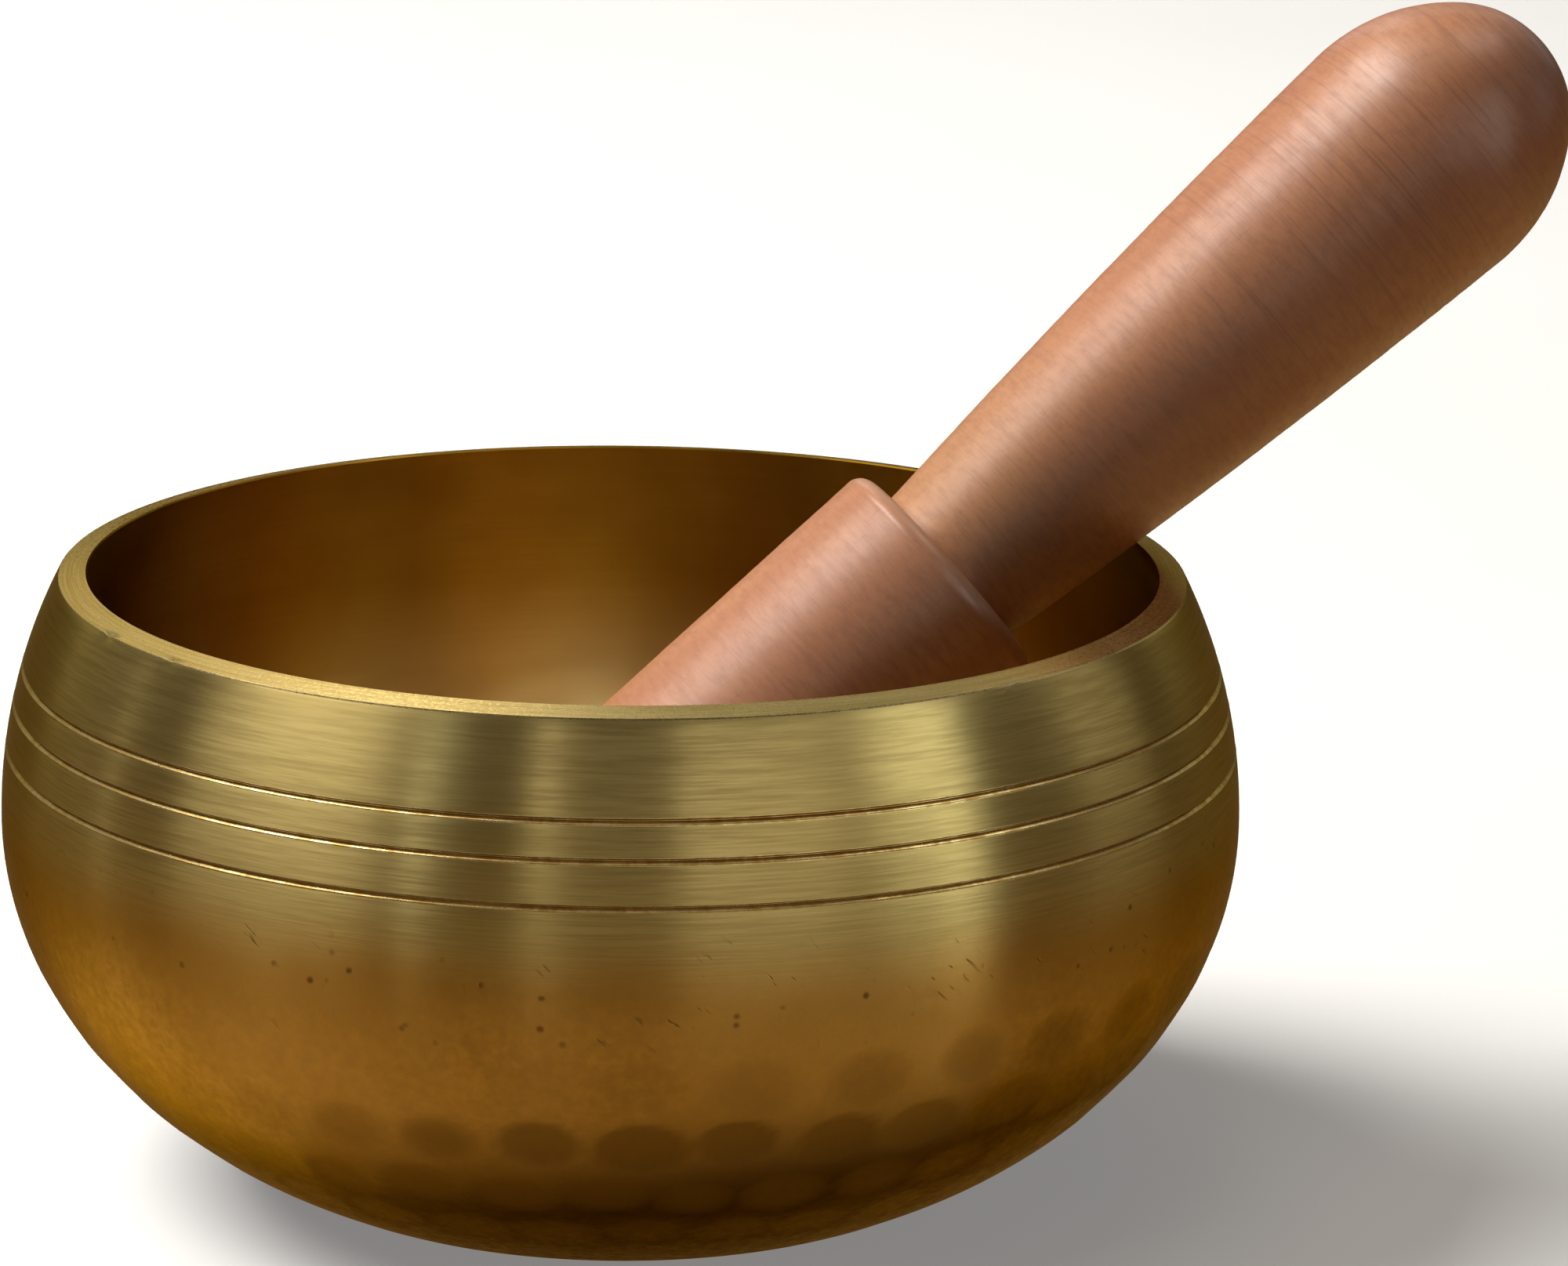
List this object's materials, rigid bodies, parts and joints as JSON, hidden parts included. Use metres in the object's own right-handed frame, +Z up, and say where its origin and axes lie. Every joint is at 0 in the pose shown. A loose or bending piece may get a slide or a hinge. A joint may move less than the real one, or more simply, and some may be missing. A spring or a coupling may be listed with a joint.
{
  "type": "singing bowl",
  "caption": "Brass singing bowl with three turned grooves and a flat foot, and its turned wooden mallet resting in it, handle on the rim, free to lift out.",
  "frame": {"origin": "centre of the bowl's flat foot, on the surface it stands on", "axes": "+Z up along the bowl's axis; the mallet leans in the XZ plane, its handle over the +X side of the rim"},
  "size_m": [0.1487, 0.115, 0.1069],
  "materials": {
    "brass": "lathe-brushed above the belly, hammered and polished below it, aged and darker inside",
    "handle_wood": "turned, satin oiled, fine crosswise tool marks",
    "head_wood": "turned, satin oiled, fine crosswise tool marks"
  },
  "bodies": {
    "bowl": {"bowl": "brass"},
    "mallet": {"mallet_handle": "handle_wood", "mallet_head": "head_wood"}
  },
  "joints": [
    {"name": "mallet_lift", "type": "slide", "parent": "bowl", "child": "mallet", "axis": [0, 0, 1], "range_m": [0, 0.1]}
  ]
}
